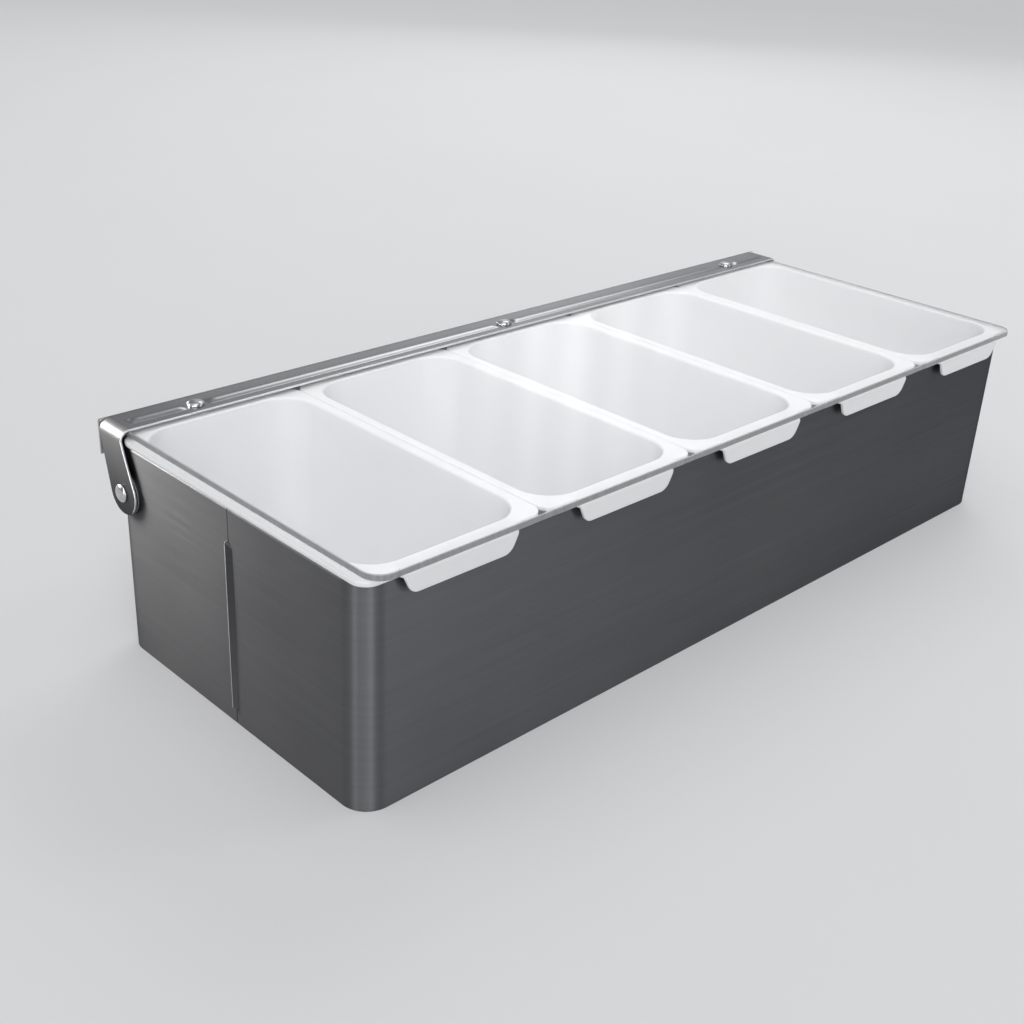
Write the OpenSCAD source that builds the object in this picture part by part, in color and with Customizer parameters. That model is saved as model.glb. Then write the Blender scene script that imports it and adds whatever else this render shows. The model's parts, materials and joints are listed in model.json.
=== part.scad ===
// Bar-top condiment caddy: a folded steel box holding a row of lift-out tubs under one clear
// lid, which swings back on a steel hinge strip pinned to the two end walls.
// Frame: X along the length, front at -Y, Z up, origin under the middle of the box.

/* [Box] */
// Length over the end walls
body_l = 372; // [300:1:460]
// Depth over the front and back walls
body_w = 141.7; // [120:0.1:180]
// Height to the top of the hem
body_h = 82.5; // [70:0.5:110]
// Outer radius of the upright corners
body_corner_r = 10; // [6:0.5:16]
// Sheet thickness of the wrap and the bottom pan
sheet_t = 0.8; // [0.6:0.1:1.2]
// Height of the hem folded inside the top edge
hem_h = 9; // [5:0.5:14]
// Width of the shelf along the back wall, from the outer face
back_shelf_w = 8.9; // [6:0.1:10]
// Height of the pan's upturned edge
pan_edge_h = 8; // [4:0.5:14]
// Clearance between the pan and the wrap
pan_clear = 0.05; // [0.02:0.01:0.2]

/* [Lock seam] */
// Width of the folded seam on the left end wall
seam_w = 3.6; // [2:0.1:6]
// How far the seam stands out
seam_t = 1.1; // [0.6:0.1:1.6]
// Height of the seam's lower end
seam_z0 = 6.5; // [3:0.5:15]
// Height of the seam's upper end
seam_z1 = 70.5; // [50:0.5:75]
// Place of the seam along the end wall
seam_y = -2; // [-40:1:20]
// Width and depth of the butt line above the seam
butt_line = 0.3; // [0.1:0.05:0.4]

/* [Tubs] */
// Gap between neighbouring rims
rim_gap = 0.4; // [0.3:0.1:1]
// How far the end rims lie over the end walls
rim_over = 0.3; // [0.1:0.1:0.6]
// How far the rims lie over the front wall
rim_over_front = 1.1; // [0.5:0.1:2]
// Thickness of the rim
rim_t = 1.9; // [1.4:0.1:3]
// Outer corner radius of the rim
rim_corner_r = 6; // [3:0.5:9]
// Wall thickness of a tub
tub_wall = 1.5; // [1:0.1:2.5]
// Floor thickness of a tub
tub_floor = 1.6; // [1:0.1:3]
// Clear height between the pan and a tub's underside
tub_lift = 6.6; // [1:0.1:30]
// Slope of the walls from upright, in degrees
tub_draft = 2; // [1:0.25:3]
// Radius of the cavity's upright corners at the top
cavity_corner_r = 13; // [8:0.5:16]
// Radius between the cavity's floor and walls
cavity_floor_r = 8; // [3:0.5:9]
// Clearance between a tub and the edges it drops between
tub_clear = 0.5; // [0.4:0.1:1.2]

/* [Finger tabs] */
// Width of a tab at the rim
tab_w = 47.4; // [30:0.1:54]
// Slant of a tab's ends, measured along X
tab_slant = 3.6; // [0:0.1:5]
// Height of a tab below the top of the rim
tab_h = 7.8; // [5:0.1:14]
// How far a tab reaches past the rim
tab_reach = 2.4; // [1.5:0.1:5]
// Thickness of a tab
tab_t = 1.5; // [1:0.1:2]
// Radius of a tab's lower corners
tab_corner_r = 4.5; // [1:0.1:5]
// Radius of a tab's top edge
tab_edge_r = 1.2; // [0.3:0.1:1.8]

/* [Lid] */
// Gap between the rims and the lid
lid_gap = 0.8; // [0.6:0.1:1.5]
// Thickness of the clear sheet
lid_t = 2.3; // [1.5:0.1:4]
// How far the lid stops short of the end walls
lid_inset = 1.6; // [1:0.1:4]
// How far the lid reaches past the front wall
lid_over = 4.7; // [2:0.1:8]
// Radius of the lid's front corners
lid_corner_r = 7; // [2:0.5:14]

/* [Hinge strip] */
// Sheet thickness of the strip
strip_t = 1; // [0.8:0.1:1.5]
// Distance of the strip's front edge behind the pivot
strip_front = -1; // [-3:0.1:2]
// Distance of the strip's back face behind the back wall
strip_back = 5.4; // [4:0.1:9]
// Outer radius of the bend between the strip and its back flange
flange_bend_r = 1.8; // [1.6:0.1:3]
// Outer radius of the bends between the strip and its ears
ear_bend_r = 3; // [2:0.1:4]
// Angle at which the back flange stops against the back wall, in degrees
open_angle = 88; // [80:1:90]
// Gap left between the flange and the back wall at that angle
stop_gap = 0.3; // [0.2:0.05:0.6]
// Radius of the ears' round ends
ear_r = 8.2; // [6:0.1:10]
// Distance of the ears' back edge in front of the strip's back face, at the top
ear_back = 2.2; // [2:0.1:6]
// Width of the stiffening bead
bead_w = 5; // [3:0.1:7]
// Height of the stiffening bead
bead_h = 0.9; // [0.4:0.1:0.95]
// Distance of the bead's centre line behind the strip's front edge
bead_y = 6; // [4:0.1:8]
// Length of strip left plain on each side of a lid rivet
bead_break = 6; // [4.5:0.1:12]
// Length of strip left plain at each end
bead_end = 5; // [4:0.1:20]

/* [Pivots] */
// Depth of the pivots in front of the back wall's outer face
pivot_in = 9.85; // [9:0.05:10.5]
// Least gap between the swinging lid and the hem or the rims
swing_clear = 0.4; // [0.3:0.05:0.5]
// Radius of the pivot shanks
pivot_r = 2; // [1.5:0.05:3]
// Running clearance between a shank and its ear
pivot_clear = 0.06; // [0.02:0.01:0.1]
// Clearance between a shank and the sheets it is set in
set_clear = 0.03; // [0.01:0.01:0.1]
// Radius of the pivot rivets' heads
pivot_head_r = 3.4; // [2.8:0.1:5]
// Height of the pivot rivets' heads
pivot_head_h = 1.6; // [1:0.1:2.5]
// Play between an ear and its rivet head
head_play = 0.2; // [0.1:0.05:0.4]
// Radius of the pads behind the ears
pad_r = 8.1; // [6:0.1:10]
// Thickness of the pads behind the ears
pad_t = 1.1; // [0.8:0.1:3]
// Play between a pad and its ear
pad_play = 0.3; // [0.2:0.05:0.6]
// Radius of the burrs inside the end walls
burr_r = 4.2; // [3.5:0.1:6]
// Thickness of the burrs
burr_t = 0.8; // [0.4:0.05:1]
// How much rounder the burrs are cut than the corner that they clear
burr_ease = 0.5; // [0.2:0.1:2]
// Radius of the rivets' closed tails
tail_r = 3; // [2.5:0.1:4]
// Thickness of the rivets' closed tails
tail_t = 0.7; // [0.5:0.05:0.8]

/* [Lid rivets] */
// Distance of the outer lid rivets in from the end walls' outer faces
lid_rivet_in = 32; // [20:1:80]
// Radius of the lid rivets' heads
lid_head_r = 3.3; // [2.5:0.1:5]
// Height of the lid rivets' heads
lid_head_h = 1.7; // [1:0.1:2.5]
// Radius of the lid rivets' shanks
lid_shank_r = 1.6; // [1.2:0.1:2]
// Clearance round the lid rivets' shanks
lid_shank_clear = 0.05; // [0.02:0.01:0.15]
// Radius of the flush tails under the lid
lid_tail_r = 2.6; // [2.2:0.1:3.2]

/* [Hidden] */
$fn = 64;
overcut = 1;
tub_count = 5;
LEFT = -1;
RIGHT = 1;

half_l = body_l / 2;
half_w = body_w / 2;
hem_t = 2 * sheet_t;
shelf_edge_y = half_w - back_shelf_w;

// Lid plane, and the pivot that lets it swing clear of the hem's round top
rim_z1 = body_h + rim_t;
lid_z0 = rim_z1 + lid_gap;
pivot_y = half_w - pivot_in;
hem_to_lid = lid_z0 - body_h + sheet_t;
hem_reach = sheet_t + swing_clear;
pivot_to_lid = (pow(pivot_in - sheet_t, 2) + pow(hem_to_lid, 2) - pow(hem_reach, 2))
    / (2 * (hem_to_lid - hem_reach));
pivot_z = lid_z0 - pivot_to_lid;

// Rims: the row of equal rims covers the box from end to end, and stops short of the swing
tub_pitch = (body_l + 2 * rim_over + rim_gap) / tub_count;
rim_w = tub_pitch - rim_gap;
rim_y0 = -half_w - rim_over_front;
rim_y1 = pivot_y + sqrt(pow(pivot_to_lid - swing_clear, 2) - pow(pivot_to_lid - lid_gap, 2));

// Tubs: the outside at the rim, where the walls are widest
tub_half_w = half_l - hem_t - tub_clear - tub_pitch * (tub_count - 1) / 2;
tub_y0 = -half_w + hem_t + tub_clear;
tub_y1 = shelf_edge_y - tub_clear;
tub_mid_y = (tub_y0 + tub_y1) / 2;
tub_half_d = (tub_y1 - tub_y0) / 2;
tub_corner_r = cavity_corner_r + tub_wall;
tub_cx = tub_half_w - tub_corner_r;
tub_cy = tub_half_d - tub_corner_r;
tub_z0 = sheet_t + tub_lift;

// Tabs
tab_y0 = rim_y0 - tab_reach;
tab_z0 = rim_z1 - tab_h;

// Lid and strip
lid_z1 = lid_z0 + lid_t;
strip_z1 = lid_z1 + strip_t;
strip_y0 = pivot_y + strip_front;
strip_y1 = half_w + strip_back;
flange_in = strip_y1 - strip_t - pivot_y;
flange_z0 = pivot_z + (pivot_in + stop_gap - flange_in * cos(open_angle)) / sin(open_angle);
lid_half_l = half_l - lid_inset;
lid_y0 = -half_w - lid_over;
lid_y1 = strip_y1 - flange_bend_r;
bead_line_y = strip_y0 + bead_y;
lid_rivet_x = half_l - lid_rivet_in;
lid_rivet_xs = [-lid_rivet_x, 0, lid_rivet_x];

// Ends, from the end wall outwards
ear_in = half_l + pad_t + pad_play;
ear_out = ear_in + strip_t;
head_in = ear_out + head_play;
strip_flat_x = ear_out - ear_bend_r;
ear_flat_z = strip_z1 - ear_bend_r;
ear_y1 = strip_y1 - ear_back;

// Points on an arc, from angle a0 to angle a1
function arc(centre, r, a0, a1, n = 8) =
    [for (i = [0:n]) centre + r * [cos(a0 + (a1 - a0) * i / n), sin(a0 + (a1 - a0) * i / n)]];

// Where a line from a point touches a circle, on the side given by 1 or -1
function touch(point, centre, r, side) =
    let (v = point - centre, far = norm(v), a = atan2(v[1], v[0]) + side * acos(r / far))
    centre + r * [cos(a), sin(a)];

// Radius of the sphere that gives a cap of this radius and height
function cap_sphere_r(r, h) = (r * r + h * h) / (2 * h);

// Carries a half profile round a rectangle with round corners. The profile's X is the
// distance out from the line through the corners' centres, and its Y is the height.
module round_sweep(cx, cy) {
    for (turn = [0:3]) {
        a = turn % 2 == 0 ? cx : cy;
        b = turn % 2 == 0 ? cy : cx;
        rotate([0, 0, 90 * turn]) translate([a, b, 0]) {
            rotate_extrude(angle = 90) children();
            rotate([90, 0, 0]) linear_extrude(2 * b) children();
        }
    }
}

// A block with its middle filled in, from a half profile that reaches the centre line
module round_block(cx, cy, z0, z1) {
    round_sweep(cx, cy) children();
    translate([-cx, -cy, z0]) cube([2 * cx, 2 * cy, z1 - z0]);
}

// A flat rectangle with round corners, given by its low and high corners
module round_rect(low, high, r) {
    translate([low[0], low[1] + r]) square([high[0] - low[0], high[1] - low[1] - 2 * r]);
    translate([low[0] + r, low[1]]) square([high[0] - low[0] - 2 * r, high[1] - low[1]]);
    for (x = [low[0] + r, high[0] - r], y = [low[1] + r, high[1] - r])
        translate([x, y]) circle(r);
}

// A domed cap standing on the XY plane
module dome(r, h) {
    ball_r = cap_sphere_r(r, h);
    intersection() {
        translate([0, 0, h - ball_r]) sphere(ball_r);
        cylinder(r = r + overcut, h = h + overcut);
    }
}

// Moves children to a pivot, with their Z pointing out of the box and 0 at the given X
module at_pivot(side, x) {
    translate([side * x, pivot_y, pivot_z]) rotate([0, side * 90, 0]) children();
}

// The wrap: walls with a hem round the top edge
module wrap_profile() {
    translate([body_corner_r - sheet_t, 0]) square([sheet_t, body_h - sheet_t]);
    translate([body_corner_r - hem_t, body_h - hem_h]) square([hem_t, hem_h - sheet_t]);
    translate([body_corner_r - sheet_t, body_h - sheet_t]) circle(sheet_t);
}

module body_shell() {
    color("#7d7f82") difference() {
        union() {
            round_sweep(half_l - body_corner_r, half_w - body_corner_r) wrap_profile();
            back_shelf();
            lock_seam();
        }
        for (side = [LEFT, RIGHT])
            at_pivot(side, half_l - sheet_t - overcut)
                cylinder(r = pivot_r + set_clear, h = sheet_t + 2 * overcut);
        translate([-half_l - overcut, seam_y - butt_line / 2, seam_z1])
            cube([overcut + butt_line, butt_line, body_h - sheet_t - seam_z1]);
    }
}

// A ledge folded in along the back wall, which carries the backs of the rims
module back_shelf() {
    translate([-half_l + body_corner_r, shelf_edge_y, body_h - sheet_t])
        cube([body_l - 2 * body_corner_r, back_shelf_w - sheet_t, sheet_t]);
}

// The folded seam that closes the wrap, with a round top
module lock_seam() {
    translate([-half_l - seam_t, seam_y - seam_w / 2, seam_z0])
        cube([seam_t + sheet_t / 2, seam_w, seam_z1 - seam_z0 - seam_w / 2]);
    translate([-half_l - seam_t, seam_y, seam_z1 - seam_w / 2])
        rotate([0, 90, 0]) cylinder(d = seam_w, h = seam_t + sheet_t / 2);
}

// The bottom pan, pressed up inside the wrap
module bottom_pan() {
    out = body_corner_r - sheet_t - pan_clear;
    color("#77797c") round_block(half_l - body_corner_r, half_w - body_corner_r, 0, sheet_t) {
        square([out, sheet_t]);
        translate([out - sheet_t, 0]) square([sheet_t, pan_edge_h]);
    }
}

// A pad spot-welded to an end wall, which holds the ear off it
module pivot_pad(side) {
    color("#6b6d70") at_pivot(side, half_l) difference() {
        cylinder(r = pad_r, h = pad_t);
        translate([0, 0, -overcut])
            cylinder(r = pivot_r + set_clear, h = pad_t + 2 * overcut);
    }
}

// The rivet that an ear turns on: domed head outside, closed tail inside
module pivot_rivet(side) {
    tail_in = half_l - sheet_t - burr_t - tail_t;
    color("#c4c6c9") {
        at_pivot(side, head_in) dome(pivot_head_r, pivot_head_h);
        at_pivot(side, tail_in) cylinder(r = pivot_r, h = head_in - tail_in);
        at_pivot(side, tail_in) cylinder(r = tail_r, h = tail_t);
    }
}

// The washer between an end wall and a rivet's tail, cut to clear the bend of the corner
module rivet_burr(side) {
    inner = [half_l - sheet_t, half_w - sheet_t];
    color("#b4b6b9") intersection() {
        at_pivot(side, half_l - sheet_t - burr_t) difference() {
            cylinder(r = burr_r, h = burr_t);
            translate([0, 0, -overcut])
                cylinder(r = pivot_r + set_clear, h = burr_t + 2 * overcut);
        }
        linear_extrude(body_h) round_rect(-inner, inner, body_corner_r - sheet_t + burr_ease);
    }
}

module hinge_strip() {
    color("#8a8c8f") difference() {
        union() {
            strip_top();
            for (side = [LEFT, RIGHT]) strip_ear(side);
            strip_beads(0);
        }
        strip_beads(strip_t);
        for (x = lid_rivet_xs)
            translate([x, bead_line_y, lid_z1 - overcut])
                cylinder(r = lid_shank_r + lid_shank_clear, h = strip_t + 2 * overcut);
        for (side = [LEFT, RIGHT])
            at_pivot(side, ear_in - overcut)
                cylinder(r = pivot_r + pivot_clear, h = strip_t + 2 * overcut);
    }
}

// The flat of the strip with its back flange, as one section drawn along X
module strip_top() {
    bend_y = strip_y1 - flange_bend_r;
    bend_z = strip_z1 - flange_bend_r;
    translate([-strip_flat_x, 0, 0]) rotate([90, 0, 90]) linear_extrude(2 * strip_flat_x) {
        translate([strip_y0, lid_z1]) square([bend_y - strip_y0, strip_t]);
        translate([strip_y1 - strip_t, flange_z0]) square([strip_t, bend_z - flange_z0]);
        translate([bend_y, bend_z]) quarter_ring(flange_bend_r);
    }
}

// A quarter of a ring as thick as the strip, in the first quadrant
module quarter_ring(r) {
    intersection() {
        difference() {
            circle(r);
            circle(r - strip_t);
        }
        square(r);
    }
}

// An ear: the end of the strip bent down, tapering to a round end about the pivot
module strip_ear(side) {
    centre = [pivot_y, pivot_z];
    front = [strip_y0, ear_flat_z];
    back = [ear_y1, ear_flat_z];
    outline = [front, touch(front, centre, ear_r, 1), centre, touch(back, centre, ear_r, -1), back];
    translate([side * (ear_in + strip_t / 2), 0, 0]) rotate([90, 0, 90])
        linear_extrude(strip_t, center = true) {
            polygon(outline);
            translate(centre) circle(ear_r);
        }
    translate([side * strip_flat_x, ear_y1, ear_flat_z]) rotate([90, 0, 0])
        linear_extrude(ear_y1 - strip_y0) mirror([side == LEFT ? 1 : 0, 0]) quarter_ring(ear_bend_r);
}

// The stiffening bead in lengths between the rivets, shrunk by the given amount all round
module strip_beads(shrink) {
    r = cap_sphere_r(bead_w / 2, bead_h);
    spans = [
        [-strip_flat_x + bead_end, -lid_rivet_x - bead_break],
        [-lid_rivet_x + bead_break, -bead_break],
        [bead_break, lid_rivet_x - bead_break],
        [lid_rivet_x + bead_break, strip_flat_x - bead_end]];
    intersection() {
        for (span = spans) {
            x0 = span[0] + bead_w / 2;
            x1 = span[1] - bead_w / 2;
            translate([x0, bead_line_y, strip_z1 + bead_h - r]) {
                rotate([0, 90, 0]) cylinder(r = r - shrink, h = x1 - x0);
                sphere(r - shrink);
                translate([x1 - x0, 0, 0]) sphere(r - shrink);
            }
        }
        translate([-half_l, strip_y0, lid_z1 + (shrink > 0 ? -overcut : strip_t / 2)])
            cube([body_l, lid_y1 - strip_y0, overcut + strip_t + bead_h]);
    }
}

// The clear sheet, with countersunk holes for the rivets
module lid_panel() {
    color("#dfe6ea", 0.35) difference() {
        translate([0, 0, lid_z0]) linear_extrude(lid_t) {
            round_rect([-lid_half_l, lid_y0], [lid_half_l, 0], lid_corner_r);
            translate([-lid_half_l, -lid_corner_r])
                square([2 * lid_half_l, lid_y1 + lid_corner_r]);
        }
        for (x = lid_rivet_xs)
            translate([x, bead_line_y, lid_z0]) lid_rivet_hole();
    }
}

// Everything that a lid rivet fills below the strip's underside, with its clearance
module lid_rivet_hole() {
    sink = lid_tail_r - lid_shank_r;
    translate([0, 0, -overcut])
        cylinder(r = lid_shank_r + lid_shank_clear, h = lid_t + 2 * overcut);
    translate([0, 0, -sink]) cylinder(r1 = lid_tail_r + lid_shank_clear + sink,
        r2 = lid_shank_r + lid_shank_clear, h = 2 * sink);
}

// A lid rivet: domed head on the strip, shank, and a tail flush with the lid's underside
module lid_rivet(x) {
    sink = lid_tail_r - lid_shank_r;
    color("#c9cbce") translate([x, bead_line_y, lid_z0]) {
        translate([0, 0, lid_t + strip_t]) dome(lid_head_r, lid_head_h);
        cylinder(r = lid_shank_r, h = lid_t + strip_t);
        cylinder(r1 = lid_tail_r, r2 = lid_shank_r, h = sink);
    }
}

// Half profile of a tub, narrowing downwards with a round edge at the floor. It carries on
// above the rim by the given height.
module tub_profile(top_r, z0, floor_r, above = 0) {
    foot_x = top_r - (rim_z1 - z0) * tan(tub_draft);
    // The round edge touches the floor and the sloping wall
    edge_x = foot_x - floor_r * (1 - sin(tub_draft)) / cos(tub_draft);
    polygon(concat(
        [[0, rim_z1 + above], [0, z0]],
        arc([edge_x, z0 + floor_r], floor_r, -90, -tub_draft),
        [[top_r + above * tan(tub_draft), rim_z1 + above]]));
}

// A tub with its rim and finger tab, centred on X
module tub() {
    difference() {
        union() {
            translate([0, 0, body_h]) linear_extrude(rim_t)
                round_rect([-rim_w / 2, rim_y0], [rim_w / 2, rim_y1], rim_corner_r);
            translate([0, tub_mid_y, 0]) round_block(tub_cx, tub_cy, tub_z0, rim_z1)
                tub_profile(tub_corner_r, tub_z0, cavity_floor_r + tub_wall);
            finger_tab();
        }
        translate([0, tub_mid_y, 0])
            round_block(tub_cx, tub_cy, tub_z0 + tub_floor, rim_z1 + overcut)
                tub_profile(cavity_corner_r, tub_z0 + tub_floor, cavity_floor_r, overcut);
    }
}

// A tab folded over the front wall: its section along X, cut to its outline seen from the front
module finger_tab() {
    low_half_w = tab_w / 2 - tab_slant;
    lean = atan(tab_slant / tab_h);
    corner_x = low_half_w - tab_corner_r * (1 - sin(lean)) / cos(lean);
    corner_z = tab_z0 + tab_corner_r;
    right_side = concat(
        arc([corner_x, corner_z], tab_corner_r, -90, -lean),
        [[tab_w / 2, rim_z1]]);
    root_y = rim_y0 + rim_corner_r / 2;
    section = concat(
        [[root_y, rim_z1], [root_y, body_h], [tab_y0 + tab_t, body_h], [tab_y0 + tab_t, tab_z0]],
        [[tab_y0, tab_z0]],
        arc([tab_y0 + tab_edge_r, rim_z1 - tab_edge_r], tab_edge_r, 180, 90));
    intersection() {
        translate([-tab_w / 2, 0, 0]) rotate([90, 0, 90]) linear_extrude(tab_w) polygon(section);
        translate([0, root_y, 0]) rotate([90, 0, 0])
            linear_extrude(root_y - tab_y0) {
                polygon(concat([[0, rim_z1], [0, tab_z0]], right_side));
                mirror([1, 0]) polygon(concat([[0, rim_z1], [0, tab_z0]], right_side));
            }
    }
}

// The tub in the given place of the row, counted from the left
module insert(place) {
    color("#f1f2f4") translate([(place - (tub_count + 1) / 2) * tub_pitch, 0, 0]) tub();
}

body_shell();
bottom_pan();
pivot_pad(LEFT);  // left_pivot_pad
pivot_pad(RIGHT);  // right_pivot_pad
pivot_rivet(LEFT);  // left_pivot_rivet
pivot_rivet(RIGHT);  // right_pivot_rivet
rivet_burr(LEFT);  // left_rivet_burr
rivet_burr(RIGHT);  // right_rivet_burr
hinge_strip();
lid_panel();
lid_rivet(-lid_rivet_x);  // lid_rivet_left
lid_rivet(0);  // lid_rivet_centre
lid_rivet(lid_rivet_x);  // lid_rivet_right
insert(1);  // insert_1
insert(2);  // insert_2
insert(3);  // insert_3
insert(4);  // insert_4
insert(5);  // insert_5
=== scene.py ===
import json
import math

import bmesh
import bpy
import numpy as np
from mathutils import Matrix, Vector

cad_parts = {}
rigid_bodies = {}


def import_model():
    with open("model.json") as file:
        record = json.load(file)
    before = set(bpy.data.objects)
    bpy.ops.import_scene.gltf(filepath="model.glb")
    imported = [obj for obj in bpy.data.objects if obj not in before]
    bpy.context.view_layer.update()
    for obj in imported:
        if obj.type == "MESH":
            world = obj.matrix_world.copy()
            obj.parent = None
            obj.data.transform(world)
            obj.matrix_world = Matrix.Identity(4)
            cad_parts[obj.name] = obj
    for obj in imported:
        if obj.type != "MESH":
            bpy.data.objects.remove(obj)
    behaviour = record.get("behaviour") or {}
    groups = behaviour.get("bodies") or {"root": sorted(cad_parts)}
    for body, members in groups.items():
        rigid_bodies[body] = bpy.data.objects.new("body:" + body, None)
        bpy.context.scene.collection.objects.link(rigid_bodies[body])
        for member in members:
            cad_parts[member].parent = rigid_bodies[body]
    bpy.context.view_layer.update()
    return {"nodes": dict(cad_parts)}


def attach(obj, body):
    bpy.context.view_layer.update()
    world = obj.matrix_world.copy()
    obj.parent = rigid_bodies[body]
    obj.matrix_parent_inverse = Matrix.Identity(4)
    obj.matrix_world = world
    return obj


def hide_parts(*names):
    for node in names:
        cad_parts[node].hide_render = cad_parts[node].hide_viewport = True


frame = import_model()
mm = 0.001  # the shapes are worked out in millimetres
nearEdge = 0.4  # flat faces get a row of points this close to where a bend begins
weldGap = 2e-7  # points closer than this, in metres, become one
leastEdge = 2e-8  # edges shorter than this, in metres, are dissolved
print("frame loaded:", len(frame["nodes"]), "nodes")


# Values from a to b, evenly spaced apart from one extra just inside each end
def held(a, b, count):
    step = math.copysign(min(nearEdge, abs(b - a) / 4), b - a)
    return np.concatenate([[a], np.linspace(a + step, b - step, count), [b]])


# Points on an arc: centre + radius * (cos a, sin a), for a from a0 to a1 degrees
def arcPoints(centre, radius, a0, a1, steps=6):
    a = np.radians(np.linspace(a0, a1, steps + 1))
    return np.asarray(centre, float) + radius * np.stack([np.cos(a), np.sin(a)], -1)


# Points with the given first and second places, either of which may be one number for all
def pairs(x, z):
    return np.stack(np.broadcast_arrays(np.asarray(x, float), np.asarray(z, float)), -1)


# Points round a rectangle with round corners, counterclockwise seen from above, and the
# outward direction at each. A corner point is its centre plus the radius times (cos a, sin a).
def roundRect(low, high, radii, arc=12, side=8):
    radii = np.broadcast_to(np.asarray(radii, float), (4,))
    signs = np.array([[1, -1], [1, 1], [-1, 1], [-1, -1]])
    centres = np.where(signs > 0, high, low) - signs * radii[:, None]
    a = np.radians(-90 + 90 * np.arange(4)[:, None] + np.linspace(0, 90, arc + 1))
    ways = np.stack([np.cos(a), np.sin(a)], -1)
    bends = centres[:, None] + radii[:, None, None] * ways
    gap = np.roll(bends[:, :1], -1, 0) - bends[:, -1:]
    near = nearEdge / np.linalg.norm(gap, axis=-1)
    t = near + (1 - 2 * near) * np.linspace(0, 1, side)
    sides = bends[:, -1:] + t[..., None] * gap
    points = np.concatenate([bends, sides], 1)
    ways = np.concatenate([ways, np.repeat(ways[:, -1:], side, 1)], 1)
    return points.reshape(-1, 2), ways.reshape(-1, 2)


# Faces between the rows of a grid of points. A row closes on itself if it is a ring.
def gridFaces(rows, columns, ring=True):
    number = np.arange(rows * columns).reshape(rows, columns)
    beside = np.roll(number, -1, 1)
    quads = np.stack([number[:-1], beside[:-1], beside[1:], number[1:]], -1)
    return (quads if ring else quads[:, :-1]).reshape(-1, 4).tolist()


# A skin over rows of points, each row a closed ring, with the chosen ends closed flat
def skin(rows, first=True, last=True):
    rows = np.asarray(rows, float)
    count, width = rows.shape[:2]
    faces = gridFaces(count, width)
    faces += [list(range(width))[::-1]] if first else []
    faces += [list(range((count - 1) * width, count * width))] if last else []
    return rows.reshape(-1, 3), faces


# Rings at heights z, each the outline moved out along its directions
def rings(outline, ways, section):
    return [np.column_stack([outline + ways * out, np.full(len(outline), z)])
            for out, z in section]


# Turns a half profile of (radius, height) about the Z axis: x = r cos a, y = r sin a
def turned(profile, segments=56):
    profile = np.asarray(profile, float)
    a = np.linspace(0, 2 * math.pi, segments, endpoint=False)
    circle = np.stack([np.cos(a), np.sin(a), np.zeros(segments)], -1)
    return skin(profile[:, None, :1] * circle + profile[:, None, 1:] * np.array([0, 0, 1.0]))


# Stands a turned skin at a place, with its axis along the given direction
def placed(shape, place, axis=(0, 0, 1)):
    turn = np.array(Vector((0, 0, 1)).rotation_difference(Vector(axis)).to_matrix())
    return shape[0] @ turn.T + np.asarray(place, float), shape[1]


# Makes one object from skins in millimetres: welds doubles and poles, turns the faces outwards
# and shades them smooth apart from edges sharper than the given angle. A grain function lays
# the surface out flat in its own UV map, in metres along and across the sheet.
def makePiece(name, skins, material, body, nodes=(), sharp=38, grain=None):
    counts = np.cumsum([0] + [len(points) for points, faces in skins])
    every = np.concatenate([points for points, faces in skins]) * mm
    faces = [[int(i + first) for i in face] for (points, own), first in zip(skins, counts)
             for face in own]
    mesh = bpy.data.meshes.new(name)
    mesh.from_pydata(every.tolist(), [], faces)
    build = bmesh.new()
    build.from_mesh(mesh)
    bmesh.ops.remove_doubles(build, verts=build.verts, dist=weldGap)
    bmesh.ops.dissolve_degenerate(build, edges=build.edges, dist=leastEdge)
    bmesh.ops.recalc_face_normals(build, faces=build.faces)
    build.to_mesh(mesh)
    build.free()
    mesh.polygons.foreach_set("use_smooth", np.ones(len(mesh.polygons), bool))
    mesh.set_sharp_from_angle(angle=math.radians(sharp))
    if grain is not None:
        places = np.zeros(len(mesh.vertices) * 3)
        mesh.vertices.foreach_get("co", places)
        corners = np.zeros(len(mesh.loops), int)
        mesh.loops.foreach_get("vertex_index", corners)
        along = grain(places.reshape(-1, 3) / mm) * mm
        layer = mesh.uv_layers.new(name="grain")
        layer.uv.foreach_set("vector", along[corners].ravel())
    mesh.materials.append(material)
    piece = bpy.data.objects.new(name, mesh)
    bpy.context.scene.collection.objects.link(piece)
    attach(piece, body)
    if nodes:
        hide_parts(*nodes)
    return piece


# Gives a piece further materials, each on the faces picked by a test on their normals and on
# their middles in millimetres. Where two tests pick the same face, the later one has it.
def moreFinishes(piece, *finishes):
    count = len(piece.data.polygons)
    normals, middles = np.zeros(count * 3), np.zeros(count * 3)
    piece.data.polygons.foreach_get("normal", normals)
    piece.data.polygons.foreach_get("center", middles)
    way, at = normals.reshape(-1, 3).T, middles.reshape(-1, 3).T / mm
    chosen = np.zeros(count, np.int32)
    for number, (material, test) in enumerate(finishes):
        piece.data.materials.append(material)
        chosen = np.where(test(way, at), number + 1, chosen).astype(np.int32)
    piece.data.polygons.foreach_set("material_index", chosen)


# Adds a node. Inputs are given by name or number as values or as other nodes' outputs.
def node(tree, kind, inputs=None, **settings):
    made = tree.nodes.new("ShaderNode" + kind)
    for key, value in settings.items():
        setattr(made, key, value)
    for key, value in (inputs or {}).items():
        if isinstance(value, bpy.types.NodeSocket):
            tree.links.new(value, made.inputs[key])
        else:
            made.inputs[key].default_value = value
    return made


# A material with an empty node tree
def newMaterial(name):
    material = bpy.data.materials.new(name)
    material.use_nodes = True
    material.node_tree.nodes.clear()
    return material, material.node_tree


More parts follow.
